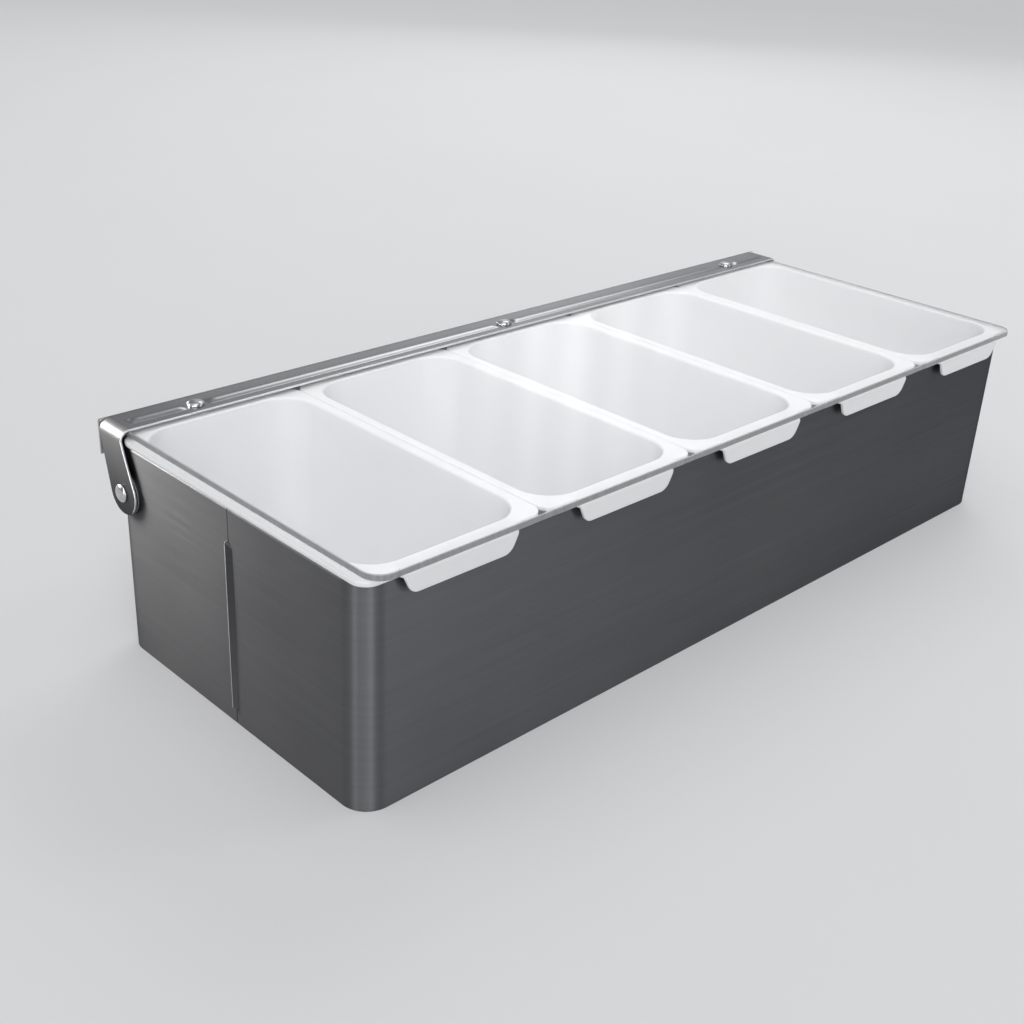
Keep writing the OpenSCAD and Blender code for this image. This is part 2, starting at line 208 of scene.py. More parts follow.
# Cloudy noise from 0 to 1, mostly between 0.3 and 0.7
def noise(tree, where, scale, detail=2.0, roughness=0.5):
    return node(tree, "TexNoise", {"Vector": where, "Scale": scale, "Detail": detail,
                                   "Roughness": roughness}).outputs["Fac"]


# A place scaled apart along each axis, which draws noise out into lines
def stretched(tree, where, scale):
    return node(tree, "Mapping", {"Vector": where, "Scale": scale}).outputs["Vector"]


# Carries a value from one range, that of noise unless given, to low and high, and clamps it
def spread(tree, value, low, high, fromLow=0.3, fromHigh=0.7):
    return node(tree, "MapRange", {"Value": value, "From Min": fromLow, "From Max": fromHigh,
                                   "To Min": low, "To Max": high}).outputs["Result"]


# The sum of two values
def plus(tree, first, second):
    return node(tree, "Math", {0: first, 1: second}, operation="ADD").outputs["Value"]


# A colour the given share of the way from the first to the second
def between(tree, share, first, second):
    mix = node(tree, "Mix", {"Factor": share, 6: (*first, 1), 7: (*second, 1)},
               data_type="RGBA")
    return mix.outputs[2]


# Joins the shader to the material's output
def finish(tree, shader):
    output = node(tree, "OutputMaterial")
    tree.links.new(shader, output.inputs["Surface"])


# Brushed sheet. Fine lines, long along the grain and narrow across it, tilt the surface and
# streak its roughness; a slow cloud and a few longer lines change its tone. Given a shade by
# height, the tone also falls with height as painted shade: with t from 0 at its low height to 1
# at its high one, it is multiplied by least + (1 - least) * t^power.
def brushedSteel(name, look):
    material, tree = newMaterial(name)
    if look["onGrain"]:
        where = node(tree, "UVMap", uv_map="grain").outputs["UV"]
        tangent = node(tree, "Tangent", direction_type="UV_MAP", uv_map="grain")
    else:
        where = node(tree, "TexCoord").outputs["Object"]
        tangent = node(tree, "Tangent", direction_type="RADIAL", axis=look["tangentAxis"])
    fine = noise(tree, stretched(tree, where, look["fineLines"]), 1.0, detail=3.0,
                 roughness=0.6)
    long = noise(tree, stretched(tree, where, look["longLines"]), 1.0)
    cloud = noise(tree, where, look["cloudScale"], detail=3.0, roughness=0.55)
    tone = between(tree, spread(tree, cloud, 0, 1), look["dark"], look["light"])
    streak = spread(tree, long, 1 - look["streak"], 1 + look["streak"])
    # Painted shade: the colour is scaled down towards the low height, so it is darker lower down
    if look["paintedShadeLow"]:
        shade = look["paintedShadeLow"]
        height = node(tree, "SeparateXYZ", {
            "Vector": node(tree, "TexCoord").outputs["Object"]}).outputs["Z"]
        share = spread(tree, height, 0, 1, shade["low"], shade["high"])
        share = node(tree, "Math", {0: share, 1: shade["power"]},
                     operation="POWER").outputs["Value"]
        streak = node(tree, "Math", {0: streak, 1: spread(tree, share, shade["least"], 1, 0, 1)},
                      operation="MULTIPLY").outputs["Value"]
    colour = node(tree, "VectorMath", {0: tone, "Scale": streak}, operation="SCALE")
    rough = plus(tree, spread(tree, fine, *look["rough"]),
                 spread(tree, cloud, -look["cloudRough"], look["cloudRough"]))
    bump = node(tree, "Bump", {"Height": fine, "Strength": look["bump"],
                               "Distance": look["lineDepth"]})
    shader = node(tree, "BsdfPrincipled", {
        "Base Color": colour.outputs["Vector"], "Metallic": 1.0, "Roughness": rough,
        "Specular Tint": (*look["edgeTint"], 1), "Normal": bump.outputs["Normal"],
        "Anisotropic": look["anisotropic"], "Anisotropic Rotation": look["grainTurn"],
        "Tangent": tangent.outputs["Tangent"]})
    finish(tree, shader.outputs["BSDF"])
    return material


wallLook = {
    "onGrain": False, "tangentAxis": "Z", "fineLines": (22, 22, 2400),
    "longLines": (9, 9, 520), "cloudScale": 9, "dark": (0.137, 0.139, 0.145),
    "light": (0.162, 0.164, 0.169), "streak": 0.035, "rough": (0.42, 0.50),
    "cloudRough": 0.03, "bump": 0.2, "lineDepth": 2e-5, "anisotropic": 0.8,
    "grainTurn": 0.25, "edgeTint": (0.33, 0.33, 0.35), "paintedShadeLow": None,
}
stripLook = {
    "onGrain": True, "fineLines": (22, 2400, 1), "longLines": (9, 520, 1), "cloudScale": 14,
    "dark": (0.40, 0.405, 0.415), "light": (0.47, 0.47, 0.475), "streak": 0.03,
    "rough": (0.22, 0.27), "cloudRough": 0.03, "bump": 0.03, "lineDepth": 2e-5,
    "anisotropic": 0.2, "grainTurn": 0.25, "edgeTint": (0.6, 0.6, 0.62), "paintedShadeLow": None,
}
wallSteel = brushedSteel("wallSteel", wallLook)
stripSteel = brushedSteel("stripSteel", stripLook)
# The ears: the strip's steel made rougher, with painted shade: a darker tone that falls further
# towards their feet
shadedEarSteel = brushedSteel("shadedEarSteel", {
    **stripLook, "dark": (0.34, 0.34, 0.342), "light": (0.40, 0.40, 0.398),
    "rough": (0.48, 0.54), "anisotropic": 0.5, "edgeTint": (0.4, 0.4, 0.42),
    "paintedShadeLow": {"low": 0.055, "high": 0.0882, "least": 0.2, "power": 1.3}})
# The strip's front edges: near-white steel, a painted highlight along the edges that face forward
edgeHighlightSteel = brushedSteel("edgeHighlightSteel", {
    **stripLook, "dark": (0.85, 0.85, 0.86), "light": (0.93, 0.93, 0.93), "rough": (0.40, 0.48)})
# The seam's crest and back: lighter steel, a painted highlight
seamHighlightSteel = brushedSteel("seamHighlightSteel", {
    **wallLook, "dark": (0.42, 0.42, 0.42), "light": (0.52, 0.52, 0.52)})
padSteel = brushedSteel("padSteel", {
    **wallLook, "dark": (0.18, 0.18, 0.19), "light": (0.23, 0.23, 0.24)})
# The seam's forward-facing slope: darker steel, painted shade
seamShadeSteel = brushedSteel("seamShadeSteel", {
    **wallLook, "dark": (0.075, 0.076, 0.08), "light": (0.09, 0.091, 0.095)})
panSteel = brushedSteel("panSteel", {
    **wallLook, "fineLines": (22, 2400, 2400), "longLines": (9, 520, 520)})


# Bright rivet metal: small dents and rubbed spots catch the light unevenly
def rivetMetal(name, look):
    material, tree = newMaterial(name)
    where = node(tree, "TexCoord").outputs["Object"]
    dents = noise(tree, where, look["dentScale"])
    highlightArc = noise(tree, where, look["rubScale"], roughness=0.6)
    tone = between(tree, spread(tree, dents, 0, 1), look["dark"], look["light"])
    bump = node(tree, "Bump", {"Height": dents, "Strength": look["bump"],
                               "Distance": look["dentDepth"]})
    shader = node(tree, "BsdfPrincipled", {
        "Base Color": tone, "Metallic": 1.0, "Roughness": spread(tree, highlightArc, *look["rough"]),
        "Normal": bump.outputs["Normal"]})
    finish(tree, shader.outputs["BSDF"])
    return material


rivetLook = {"dentScale": 700, "rubScale": 2500, "dark": (0.46, 0.47, 0.48),
             "light": (0.62, 0.62, 0.63), "rough": (0.16, 0.26), "bump": 0.25,
             "dentDepth": 6e-5}
rivetSteel = rivetMetal("rivetSteel", rivetLook)
burrSteel = rivetMetal("burrSteel", {**rivetLook, "rough": (0.25, 0.35)})


# Moulded white plastic: a satin skin with a faint orange peel, slow changes of tone, and
# scuffs that are rougher than the skin around them.
def mouldedPlastic(name, look):
    material, tree = newMaterial(name)
    where = node(tree, "TexCoord").outputs["Object"]
    peel = noise(tree, where, look["peelScale"])
    cloud = noise(tree, where, look["cloudScale"], detail=3.0)
    scuff = noise(tree, stretched(tree, where, look["scuffLines"]), 1.0, detail=4.0,
                  roughness=0.7)
    tone = between(tree, spread(tree, cloud, 0, 1), look["shade"], look["light"])
    rough = plus(tree, spread(tree, scuff, *look["rough"], *look["scuffFrom"]),
                 spread(tree, peel, -look["peelRough"], look["peelRough"]))
    bump = node(tree, "Bump", {"Height": peel, "Strength": look["bump"],
                               "Distance": look["peelDepth"]})
    shader = node(tree, "BsdfPrincipled", {
        "Base Color": tone, "Roughness": rough, "IOR": look["ior"],
        "Subsurface Weight": look["milky"], "Subsurface Radius": (1.0, 1.0, 1.0),
        "Subsurface Scale": look["milkyDepth"], "Normal": bump.outputs["Normal"]})
    finish(tree, shader.outputs["BSDF"])
    return material


whiteLook = {"peelScale": 900, "cloudScale": 18, "scuffLines": (90, 500, 260),
             "scuffFrom": (0.35, 0.75), "shade": (0.885, 0.89, 0.90),
             "light": (0.91, 0.913, 0.92), "rough": (0.30, 0.46), "peelRough": 0.02,
             "bump": 0.12, "peelDepth": 3e-5, "ior": 1.49, "milky": 0.12, "milkyDepth": 0.002}
whitePlastic = mouldedPlastic("whitePlastic", whiteLook)


# Clear sheet: polished plastic with hairline scratches and a faint haze in its roughness.
# Rays towards lamps pass straight through, so that what is under the sheet is lit.
def clearSheet(name, look):
    material, tree = newMaterial(name)
    where = node(tree, "TexCoord").outputs["Object"]
    haze = noise(tree, where, look["hazeScale"], detail=3.0, roughness=0.6)
    scratch = noise(tree, stretched(tree, where, look["scratchLines"]), 1.0, roughness=0.6)
    rough = plus(tree, spread(tree, haze, *look["rough"]),
                 spread(tree, scratch, 0, look["scratch"], *look["scratchFrom"]))
    bump = node(tree, "Bump", {"Height": scratch, "Strength": look["bump"],
                               "Distance": look["scratchDepth"]})
    shader = node(tree, "BsdfPrincipled", {
        "Base Color": (*look["colour"], 1), "Roughness": rough, "IOR": look["ior"],
        "Transmission Weight": 1.0, "Normal": bump.outputs["Normal"]})
    passing = node(tree, "BsdfTransparent", {"Color": (*look["shadow"], 1)})
    path = node(tree, "LightPath")
    mix = node(tree, "MixShader", {0: path.outputs["Is Shadow Ray"],
                                   1: shader.outputs["BSDF"], 2: passing.outputs["BSDF"]})
    finish(tree, mix.outputs["Shader"])
    return material


clearLook = {"hazeScale": 30, "scratchLines": (25, 900, 900), "rough": (0.012, 0.035),
             "scratch": 0.05, "scratchFrom": (0.62, 0.75), "bump": 0.03,
             "scratchDepth": 1e-5, "ior": 1.49, "colour": (0.988, 0.991, 0.994),
             "shadow": (0.97, 0.973, 0.976)}
clearPlastic = clearSheet("clearPlastic", clearLook)


# The sheet's sawn edge: fine saw marks across it make it satin, so it passes light but blurs it
def sawnEdge(name, look):
    material, tree = newMaterial(name)
    where = node(tree, "TexCoord").outputs["Object"]
    marks = noise(tree, stretched(tree, where, look["sawMarks"]), 1.0, detail=3.0,
                  roughness=0.6)
    tone = between(tree, spread(tree, marks, 0, 1), look["dark"], look["light"])
    bump = node(tree, "Bump", {"Height": marks, "Strength": look["bump"],
                               "Distance": look["sawDepth"]})
    shader = node(tree, "BsdfPrincipled", {
        "Base Color": tone, "Roughness": spread(tree, marks, *look["rough"]), "IOR": look["ior"],
        "Transmission Weight": look["clear"], "Normal": bump.outputs["Normal"]})
    finish(tree, shader.outputs["BSDF"])
    return material


sawnLook = {"sawMarks": (900, 900, 120), "dark": (0.32, 0.325, 0.33),
            "light": (0.44, 0.445, 0.45), "rough": (0.35, 0.5), "bump": 0.3,
            "sawDepth": 3e-5, "ior": 1.49, "clear": 0.25}
sawnPlastic = sawnEdge("sawnPlastic", sawnLook)
# The lid's round edges: a lighter copy of the sawn edge, a painted highlight
cornerHighlightPlastic = sawnEdge("cornerHighlightPlastic", {**sawnLook, "dark": (0.60, 0.605, 0.61),
                                           "light": (0.70, 0.705, 0.71)})
print("materials made")


box = {
    "length": 372.0, "depth": 141.7, "height": 82.5, "cornerR": 10.0, "sheet": 0.8,
    "hem": 9.0, "edgeR": 0.15, "dish": 0.2, "dishLow": 10.0, "dishHigh": 72.0,
    "buttLine": 0.3, "buttClear": 1.0, "shelf": 8.9, "shelfEase": 0.05, "shelfIn": 0.96,
    "shelfEnd": 0.5,
}
seam = {
    "y": -2.0, "width": 3.6, "out": 1.05, "low": 6.5, "high": 70.5, "crest": 0.9,
    "over": 72.0, "tilt": 22.0, "lowTilt": 34.0, "lean": 0.75, "roundEnd": 0.6, "sunkIn": 0.3,
    "undercut": 0.15, "endRise": 0.35, "endWidth": 0.03, "litFrom": -0.1, "shadedFrom": -0.3,
}


# The wrap is a bent sheet carried round the box from one side of the butt line to the other.
# Its section climbs the outside, rolls over the hem and comes down inside. Each wall is drawn
# in by dish * (1 - u^2) * sin^2(pi t), with u from -1 to 1 along it and t from 0 to 1 upwards.
# The outline's own points give way to the two lips near the butt line.
def wrapSkin():
    halfL, halfW = box["length"] / 2, box["depth"] / 2
    ring, ringWays = roundRect((-halfL, -halfW), (halfL, halfW), box["cornerR"], 14, 40)
    onLeft = ring[:, 0] < -halfL + 1e-6
    upTo = np.flatnonzero(onLeft & (ring[:, 1] > seam["y"] + box["buttClear"]))[-1] + 1
    after = np.flatnonzero(onLeft & (ring[:, 1] < seam["y"] - box["buttClear"]))[0]
    lips = np.array([[-halfL, seam["y"] - box["buttLine"] / 2],
                     [-halfL, seam["y"] + box["buttLine"] / 2]])
    path = np.vstack([lips[:1], ring[after:], ring[:upTo], lips[1:]])
    ways = np.vstack([[[-1, 0]], ringWays[after:], ringWays[:upTo], [[-1, 0]]])
    t, e = box["sheet"], box["edgeR"]
    top, low = box["height"] - t, box["height"] - box["hem"]
    section = np.vstack([
        arcPoints((-e, e), e, -90, 0, 3)[:-1], pairs(0, held(e, top, 28))[:-1],
        arcPoints((-t, top), t, 0, 180, 12)[:-1], pairs(-2 * t, held(top, low + e, 3))[:-1],
        arcPoints((-2 * t + e, low + e), e, 180, 270, 3), pairs(-t, held(low, e, 20)),
        arcPoints((-t + e, e), e, 180, 270, 3)[1:]])
    u = np.where(np.abs(ways[:, 0]) > 0.5, path[:, 1] / (halfW - box["cornerR"]),
                 path[:, 0] / (halfL - box["cornerR"]))
    flat = np.max(np.abs(ways), 1) > 0.9999
    rise = (section[:, 1] - box["dishLow"]) / (box["dishHigh"] - box["dishLow"])
    drawn = box["dish"] * np.sin(math.pi * np.clip(rise, 0, 1)) ** 2
    drawn = np.where(flat, np.clip(1 - u ** 2, 0, 1), 0)[:, None] * drawn
    rows = np.zeros((len(path), len(section), 3))
    rows[..., :2] = path[:, None] + ways[:, None] * (section[:, 0] - drawn)[..., None]
    rows[..., 2] = section[:, 1]
    return skin(rows)


# The lock seam: one edge of the sheet folded flat over the other. Its section is a slope that
# leaves the wall at a low angle, an arc of the crest's radius from that angle over the top and
# down the far side, and a small undercut. The slope's length grows evenly towards the top, and
# over the round upper end the section narrows and sinks by sqrt(1 - s^2). Its foot is sunk in
# the wall.
def seamSkin():
    halfL, out, crest, foot = box["length"] / 2, seam["out"], seam["crest"], seam["sunkIn"]
    end = seam["width"] / 2 + seam["roundEnd"]
    z = np.concatenate([held(seam["low"], seam["high"] - end, 16)[:-1],
                        seam["high"] - end + end * np.sin(np.linspace(0, math.pi / 2, 18))])
    size = np.sqrt(np.clip(1 - np.clip((z - seam["high"] + end) / end, 0, 1) ** 2, 0, 1))
    rise = (z - seam["low"]) / (seam["high"] - seam["low"])
    tilt = np.radians(seam["lowTilt"] + (seam["tilt"] - seam["lowTilt"]) * rise)[:, None]
    a = -tilt + (tilt + math.radians(seam["over"])) * np.linspace(0, 1, 14)
    arcY, arcOut = crest * np.sin(a), out - crest + crest * np.cos(a)
    s = np.linspace(0, 1, 8)[None, :-1]
    footY = arcY[:, :1] - (arcOut[:, :1] + foot) / np.tan(tilt)
    slopeY = footY + (arcY[:, :1] - footY) * s
    slopeOut = -foot + (arcOut[:, :1] + foot) * s
    under = np.full((len(z), 1), arcY[0, -1] - seam["undercut"])
    ys = np.concatenate([slopeY, arcY, under], 1)
    outs = np.concatenate([slopeOut, arcOut, np.full((len(z), 1), -foot)], 1)
    sunk = np.minimum(1.0, seam["endRise"] + size)[:, None]
    rows = np.zeros(ys.shape + (3,))
    rows[..., 0] = -halfL - np.where(outs > 0, outs * sunk, outs)
    rows[..., 1] = seam["y"] + seam["lean"] + ys * np.maximum(size, seam["endWidth"])[:, None]
    rows[..., 2] = z[:, None]
    return skin(rows)


# The ledge folded in along the back wall, which carries the backs of the rims: a flat bar,
# carried along X, with a half circle along its free edge
def shelfSkin():
    halfL, halfW, t = box["length"] / 2, box["depth"] / 2, box["sheet"]
    edgeY = halfW - box["shelf"]
    r = t / 2 - box["shelfEase"]
    middle = box["height"] - t / 2
    backY = halfW - box["shelfIn"]
    section = np.vstack([pairs(held(backY, edgeY + r, 3)[:-1], middle + r),
                         arcPoints((edgeY + r, middle), r, 90, 270, 8),
                         pairs(held(edgeY + r, backY, 3)[1:], middle - r)])
    endX = halfL - box["cornerR"] - box["shelfEnd"]
    x = held(-endX, endX, 30)
    rows = np.zeros((len(x), len(section), 3))
    rows[..., 0] = x[:, None]
    rows[..., 1:] = section
    return skin(rows)


makePiece("steelBox", [wrapSkin(), shelfSkin()], wallSteel, "base", ["body_shell"])
lockSeam = makePiece("lockSeam", [seamSkin()], wallSteel, "base")
# The crest and back of the seam take lighter steel, a painted highlight
moreFinishes(lockSeam, (seamHighlightSteel, lambda way, at: way[1] > seam["litFrom"]),
             # The forward-facing slope takes darker steel, painted shade
             (seamShadeSteel, lambda way, at: way[1] < seam["shadedFrom"]))
print("steel box made")


tub = {
    "pitch": 74.6, "count": 5, "rimHalf": 37.1, "rimFront": -71.95, "rimBack": 64.955,
    "rimLow": 82.5, "rimTop": 84.4, "rimCornerR": 6.0, "rimEdgeR": 0.55, "middleY": -3.65,
    "coreX": 20.2, "coreY": 50.6, "outerR": 14.5, "cavityR": 13.0, "draft": 2.0,
    "bottom": 7.4, "floor": 9.0, "floorR": 8.0, "underR": 9.5, "lipR": 0.9,
}


# A tub's section, as distance out from the line through its corners' centres and height: a
# wall where x = top - (rim height - z) tan(draft), and a round edge that touches the floor.
def tubSection(topR, floorZ, floorR, high):
    slope = math.radians(tub["draft"])
    foot = topR - (tub["rimTop"] - floorZ) * math.tan(slope)
    edge = foot - floorR * (1 - math.sin(slope)) / math.cos(slope)
    bend = arcPoints((edge, floorZ + floorR), floorR, -90, -tub["draft"], 12)
    z = held(bend[-1, 1], high, 8)[1:]
    wall = pairs(topR - (tub["rimTop"] - z) * math.tan(slope), z)
    return np.vstack([[(edge - nearEdge, floorZ)], bend, wall])


# Rings round a tub for its section: round rectangles whose corners' centres stay put
def tubRings(section):
    core = np.array([tub["coreX"], tub["coreY"]])
    middle = np.array([0, tub["middleY"]])
    made = []
    for out, z in section:
        ring = roundRect(middle - core - out, middle + core + out, out)[0]
        made.append(np.column_stack([ring, np.full(len(ring), z)]))
    return made


# The rings run from the middle of the underside out over the wall, round the rim, and down
# the cavity to the middle of its floor.
def tubSkin():
    e, lip, cavity = tub["rimEdgeR"], tub["lipR"], tub["cavityR"]
    outline, ways = roundRect((-tub["rimHalf"], tub["rimFront"]),
                              (tub["rimHalf"], tub["rimBack"]), tub["rimCornerR"])
    rim = np.vstack([[(-e - nearEdge, tub["rimLow"])],
                     arcPoints((-e, tub["rimLow"] + e), e, -90, 0, 4),
                     arcPoints((-e, tub["rimTop"] - e), e, 0, 90, 5),
                     [(-e - nearEdge, tub["rimTop"])]])
    outer = tubSection(tub["outerR"], tub["bottom"], tub["underR"], tub["rimLow"])
    inner = tubSection(cavity, tub["floor"], tub["floorR"], tub["rimTop"] - lip)
    mouth = np.vstack([[(cavity + lip + nearEdge, tub["rimTop"])],
                       arcPoints((cavity + lip, tub["rimTop"] - lip), lip, 90,
                                 180 - tub["draft"], 6)[:-1]])
    return skin(tubRings(outer) + rings(outline, ways, rim) + tubRings(mouth)
                + tubRings(inner[::-1]))


tab = {"half": 23.7, "slant": 3.6, "top": 84.37, "low": 76.6, "front": -74.35, "root": -70.0,
       "thick": 1.5, "bendR": 1.7, "edgeR": 0.45, "cornerR": 4.5, "curl": math.radians(7)}
tab["lean"] = math.atan(tab["slant"] / (tub["rimTop"] - tab["low"]))
tab["flat"] = tab["root"] - tab["front"] - tab["bendR"]
tab["down"] = tab["flat"] + tab["bendR"] * math.pi / 2
tab["drop"] = (tab["top"] - tab["bendR"] - tab["low"]) * tab["curl"] / math.sin(tab["curl"])


# Bends a flat tab over the front edge. With v along the tab and h above its outer face, it
# runs forward, turns through a quarter circle, and then curls back on a wide arc.
def bentTab(x, v, h):
    r, wide = tab["bendR"], tab["drop"] / tab["curl"]
    bend = np.clip((v - tab["flat"]) / r, 0, math.pi / 2)
    curl = np.clip(v - tab["down"], 0, None) / wide
    turn = bend + curl
    y = tab["root"] - np.minimum(v, tab["flat"]) - r * np.sin(bend) + wide * (1 - np.cos(curl))
    z = tab["top"] - r * (1 - np.cos(bend)) - wide * np.sin(curl)
    return np.stack(np.broadcast_arrays(x, y - h * np.sin(turn), z + h * np.cos(turn)), -1)


# How far the round edges of a plate reach out, and their height, from the outer face round to
# the inner one: e sin a and e cos a - e, for a over a quarter circle at each.
def plateEdge(e, thick):
    a = np.radians(np.linspace(0, 90, 6))
    return (np.concatenate([e * np.sin(a), e * np.cos(a)]),
            np.concatenate([e * np.cos(a) - e, e - thick - e * np.sin(a)]))


# The finger tab: rows across it that narrow down its slanted sides and round its corners, each
# a flat bar whose round edges reach out square to the outline; the foot has the same edge. The
# first rows lie on the rim, so their sides face straight along X.
def tabSkin():
    thick, e, r, lean = tab["thick"], tab["edgeR"], tab["cornerR"], tab["lean"]
    end = tab["down"] + tab["drop"]
    cornerX = tab["half"] - tab["slant"] - r * (1 - math.sin(lean)) / math.cos(lean)
    v = np.concatenate([held(0, tab["flat"], 2)[:-1],
                        np.linspace(tab["flat"], tab["down"], 9)[:-1],
                        held(tab["down"], end - r + r * math.sin(lean), 5)])
    bend = np.clip((v - tab["flat"]) / tab["bendR"], 0, math.pi / 2)
    fall = tab["bendR"] * (1 - np.cos(bend)) + np.clip(v - tab["down"], 0, None)
    a = np.linspace(lean, math.pi / 2, 14)[1:]
    ways = np.stack([np.cos(a), np.sin(a)], -1)
    corner = np.array([cornerX, end - r]) + r * ways
    ways = np.vstack([np.tile([math.cos(lean), math.sin(lean)], (len(v), 1)), ways])
    ways[:3] = 1, 0
    outline = np.vstack([np.column_stack([tab["half"] - fall * math.tan(lean), v]), corner])
    core = outline - e * ways
    across = np.concatenate([[-1], np.linspace(-0.98, 0.98, 15), [1]])
    out, height = plateEdge(e, thick)
    none, one = np.zeros(len(across)), np.ones(len(out))
    x = core[:, :1] * np.concatenate([across, one, across[::-1], -one])
    reach = np.concatenate([none, out, none, out[::-1]])
    sign = np.concatenate([none, one, none, -one])
    h = np.concatenate([none, height, none - thick, height[::-1]])
    rows = bentTab(x + sign * reach * ways[:, :1], core[:, 1:] + reach * ways[:, 1:], h)
    points, faces = skin(rows, last=False)
    foot = bentTab(core[-1, 0] * across[:, None], core[-1, 1] + out, height)
    return [(points, faces),
            (foot.reshape(-1, 3), gridFaces(len(across), len(out), ring=False))]


tubShapes = [tubSkin()] + tabSkin()
for place in range(tub["count"]):
    shift = np.array([(place - (tub["count"] - 1) / 2) * tub["pitch"], 0, 0])
    nodeName = "insert_%d" % (place + 1)
    makePiece("whiteTub%d" % (place + 1), [(points + shift, faces) for points, faces in tubShapes],
              whitePlastic, nodeName, [nodeName], sharp=50)
print("white tubs made")


strip = {
    "front": 60.0, "back": 76.25, "low": 87.5, "thick": 1.0, "flangeR": 1.8, "flangeLow": 74.7,
    "flatX": 184.4, "earR": 4.0, "earBack": 74.05, "roundR": 8.2, "edgeR": 0.4,
    "pivotY": 61.0, "pivotZ": 65.045, "rivetX": 154.0, "cornerX": 187.5, "fineHalf": 10.5,
    "highlightTurn": 0.55,
}
bead = {"y": 66.0, "width": 5.0, "height": 0.9, "gap": 4.7, "end": 3.4, "power": 1.25,
        "taper": 1.3, "margin": 0.1, "step": 0.2}
strip["top"] = strip["low"] + strip["thick"]


# The pressed bead's height: height * (1 - (across / half width)^2)^power, with ends that fall
# away as a quarter ellipse over its taper, which is given in half widths. It breaks off at each
# rivet.
def beadHeight(x, y):
    half = bead["width"] / 2
    across = np.clip(1 - ((y - bead["y"]) / half) ** 2, 0, 1) ** bead["power"]
    rivets = np.array([-strip["rivetX"], 0, strip["rivetX"]])
    starts = np.concatenate([[-strip["flatX"] + bead["end"]], rivets + bead["gap"]])
    stops = np.concatenate([rivets - bead["gap"], [strip["flatX"] - bead["end"]]])
    inside = np.max(np.minimum(x[..., None] - starts, stops - x[..., None]), -1)
    taper = np.clip(inside / (bead["taper"] * half), 0, 1)
    return bead["height"] * across * np.sqrt(1 - (1 - taper) ** 2)


# Places across the strip's flat, close together over the bead
def stripAcross():
    fine = bead["width"] / 2 + bead["margin"]
    wide = fine + bead["step"]
    return np.concatenate([held(strip["front"] + strip["edgeR"], bead["y"] - wide, 2),
                           np.linspace(bead["y"] - fine, bead["y"] + fine, 27),
                           held(bead["y"] + wide, strip["earBack"] - strip["edgeR"], 4)])


# The flat strip with its back flange: one section carried along X, with the bead's height
# added to both faces of the flat. Its ends are closed beside the ears only, and the flange's
# part of the section runs on past them, behind the ears.
def stripSkins():
    t, e, r, top = strip["thick"], strip["edgeR"], strip["flangeR"], strip["top"]
    y, (out, height) = stripAcross(), plateEdge(e, t)
    back, low = strip["back"], strip["flangeLow"]
    bendY, bendZ = back - r, top - r
    flange = np.vstack([
        arcPoints((bendY, bendZ), r, 90, 0, 8), pairs(back, held(bendZ, low + e, 4))[1:],
        arcPoints((back - e, low + e), e, 0, -90, 3)[1:],
        arcPoints((back - t + e, low + e), e, -90, -180, 3),
        pairs(back - t, held(low + e, bendZ, 4))[1:],
        arcPoints((bendY, bendZ), r - t, 0, 90, 8)[1:]])
    front = pairs(y[0] - out[::-1], top + height[::-1])[1:-1]
    section = np.vstack([pairs(y, top), flange, pairs(y[::-1], top - t), front])
    marks = np.array([-strip["flatX"], -strip["rivetX"], 0, strip["rivetX"], strip["flatX"]])
    fine = (marks[:, None] + np.linspace(-strip["fineHalf"], strip["fineHalf"], 43)).ravel()
    x = np.unique(np.round(np.concatenate([fine, np.linspace(marks[0], marks[-1], 50)]), 3))
    x = x[(x >= marks[0]) & (x <= marks[-1])]
    isFlat = np.concatenate([np.ones(len(y)), np.zeros(len(flange)), np.ones(len(y)),
                             np.zeros(len(front))])
    rows = np.zeros((len(x), len(section), 3))
    rows[..., 0] = x[:, None]
    rows[..., 1:] = section
    rows[..., 2] += beadHeight(*np.broadcast_arrays(x[:, None], section[:, 0])) * isFlat
    side = pairs(y[-1] + out[::-1], top + height[::-1])[1:-1]
    bottom = len(y) + len(flange)
    cap = np.vstack([section[[len(y) - 1, len(y), bottom - 1, bottom]], side])
    ends = []
    for way in (-1, 1):
        edge = np.full(len(cap), way * strip["flatX"])
        ends.append((np.column_stack([edge, cap]), [list(range(len(cap)))]))
        run = np.zeros((4, len(flange), 3))
        run[..., 0] = way * np.linspace(strip["flatX"], strip["cornerX"], 4)[:, None]
        run[..., 1:] = flange
        ends.append(skin(run, first=False))
    return [skin(rows, first=False, last=False)] + ends


# One edge of an ear and its outward directions: along the bend it stays at its corner's Y,
# then it runs straight to where that line touches the round end, and follows it to the foot.
def earEdge(cornerY, way, bendSteps):
    pivot = np.array([strip["pivotY"], strip["pivotZ"]])
    corner = np.array([cornerY, strip["top"] - strip["earR"]])
    reach = corner - pivot
    a = math.atan2(reach[1], reach[0]) + way * math.acos(strip["roundR"] / np.hypot(*reach))
    a = np.linspace(a, math.radians(270 if way > 0 else -90), 26)
    ways = np.stack([np.cos(a), np.sin(a)], -1)
    arc = pivot + strip["roundR"] * ways
    share = np.linspace(0, 1, 14)[:-1, None]
    line = corner * (1 - share) + arc[:1] * share
    outward = np.array([-way, 0.0])
    middle = (outward + ways[0]) / np.hypot(*(outward + ways[0]))
    points = np.vstack([np.tile(corner, (bendSteps, 1)), line, arc])
    normals = np.vstack([np.tile(outward, (bendSteps, 1)), [middle],
                         np.tile(ways[:1], (len(line) - 1, 1)), ways])
    return points, normals


